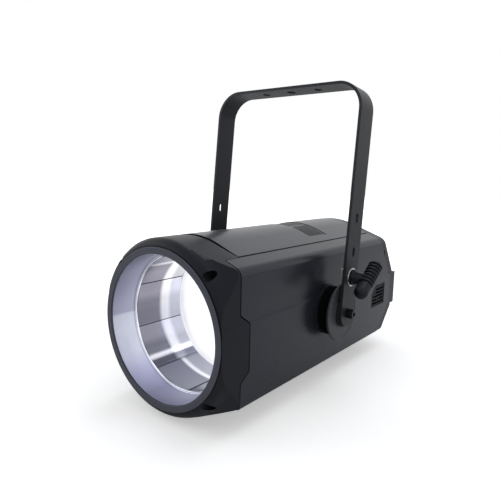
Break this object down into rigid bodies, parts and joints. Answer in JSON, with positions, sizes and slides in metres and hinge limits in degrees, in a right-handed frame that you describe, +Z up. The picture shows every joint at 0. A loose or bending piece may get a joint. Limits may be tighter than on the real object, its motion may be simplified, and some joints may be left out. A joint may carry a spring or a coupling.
{
  "type": "follow spot",
  "caption": "LED follow spot with a deep mirrored front barrel, arched case, tilting steel yoke with locking levers, rear panel and rubber feet.",
  "frame": {"origin": "on the surface under the feet, in the middle of the case's length and width", "axes": "+Z up; the lamp axis runs along Y and the light leaves towards -Y; +X is the side with the right lever"},
  "size_m": [0.3184, 0.463, 0.4183],
  "materials": {
    "moulded_black": "satin moulded plastic",
    "case_charcoal": "satin powder coat",
    "ring_grey": "satin paint",
    "yoke_black": "fine textured powder coat on steel",
    "satin_aluminium": "spun satin",
    "mirror_aluminium": "polished sheet",
    "raw_aluminium": "milled",
    "zinc_steel": "zinc plated",
    "black_steel": "black oxide",
    "lens_glass": "clear",
    "ceramic": "ceramic",
    "rubber_black": "moulded rubber",
    "board_green": "solder mask",
    "display_glass": "gloss window",
    "button_grey": "silicone",
    "socket_blue": "moulded",
    "socket_white": "moulded",
    "led_glow": "phosphor, lit"
  },
  "bodies": {
    "head": {"front_ring": "ring_grey", "front_bezel": "moulded_black", "bezel_screws": "black_steel", "front_frame": "zinc_steel", "shade_liner": "satin_aluminium", "lip_ring": "mirror_aluminium", "reflector_barrel": "mirror_aluminium", "reflector_cone": "mirror_aluminium", "lens": "lens_glass", "lens_ring": "black_steel", "bulkhead": "zinc_steel", "source_cup": "mirror_aluminium", "cob_plate": "ceramic", "cob_glow": "led_glow", "heat_sink": "raw_aluminium", "fan_frame": "moulded_black", "chassis_tray": "zinc_steel", "led_driver": "raw_aluminium", "body_shell": "case_charcoal", "top_cover": "case_charcoal", "top_vent": "moulded_black", "side_vent_left": "moulded_black", "side_vent_right": "moulded_black", "rear_cover": "case_charcoal", "rear_grille": "moulded_black", "rear_screws": "black_steel", "control_panel": "moulded_black", "control_board": "board_green", "display_window": "display_glass", "power_inlet": "socket_blue", "power_outlet": "socket_white", "data_in": "moulded_black", "data_out": "moulded_black", "fuse_holder": "moulded_black", "safety_eye": "zinc_steel", "rubber_feet": "rubber_black", "nut_plates": "zinc_steel", "pivot_drum_left": "moulded_black", "pivot_drum_right": "moulded_black", "tilt_disc_left": "ring_grey", "tilt_disc_right": "ring_grey", "friction_pads": "rubber_black", "pivot_bolts": "black_steel"},
    "yoke": {"yoke": "yoke_black", "lock_shoes": "raw_aluminium", "lever_washers": "zinc_steel"},
    "lever_left": {"lever_stud_left": "zinc_steel", "lever_grip_left": "moulded_black"},
    "lever_right": {"lever_stud_right": "zinc_steel", "lever_grip_right": "moulded_black"},
    "fan": {"fan_rotor": "moulded_black"},
    "mode_button": {"button_mode": "button_grey"},
    "up_button": {"button_up": "button_grey"},
    "down_button": {"button_down": "button_grey"},
    "enter_button": {"button_enter": "button_grey"}
  },
  "joints": [
    {"name": "yoke_tilt", "type": "hinge", "parent": "head", "child": "yoke", "pos_m": [0, -0.0015, 0.107], "axis": [1, 0, 0], "range_deg": [-110, 120]},
    {"name": "lever_left_turn", "type": "hinge", "parent": "yoke", "child": "lever_left", "pos_m": [-0.126, 0.00342, 0.15676], "axis": [1, 0, 0], "range_deg": [-150, 150]},
    {"name": "lever_right_turn", "type": "hinge", "parent": "yoke", "child": "lever_right", "pos_m": [0.126, 0.00342, 0.15676], "axis": [1, 0, 0], "range_deg": [-150, 150]},
    {"name": "fan_spin", "type": "hinge", "parent": "head", "child": "fan", "pos_m": [0, 0.0885, 0.112], "axis": [0, 1, 0], "continuous": true},
    {"name": "mode_press", "type": "slide", "parent": "head", "child": "mode_button", "axis": [0, -1, 0], "range_m": [0, 0.0008], "stiffness_N_per_m": 300, "springref_m": -0.0004},
    {"name": "up_press", "type": "slide", "parent": "head", "child": "up_button", "axis": [0, -1, 0], "range_m": [0, 0.0008], "stiffness_N_per_m": 300, "springref_m": -0.0004},
    {"name": "down_press", "type": "slide", "parent": "head", "child": "down_button", "axis": [0, -1, 0], "range_m": [0, 0.0008], "stiffness_N_per_m": 300, "springref_m": -0.0004},
    {"name": "enter_press", "type": "slide", "parent": "head", "child": "enter_button", "axis": [0, -1, 0], "range_m": [0, 0.0008], "stiffness_N_per_m": 300, "springref_m": -0.0004}
  ]
}
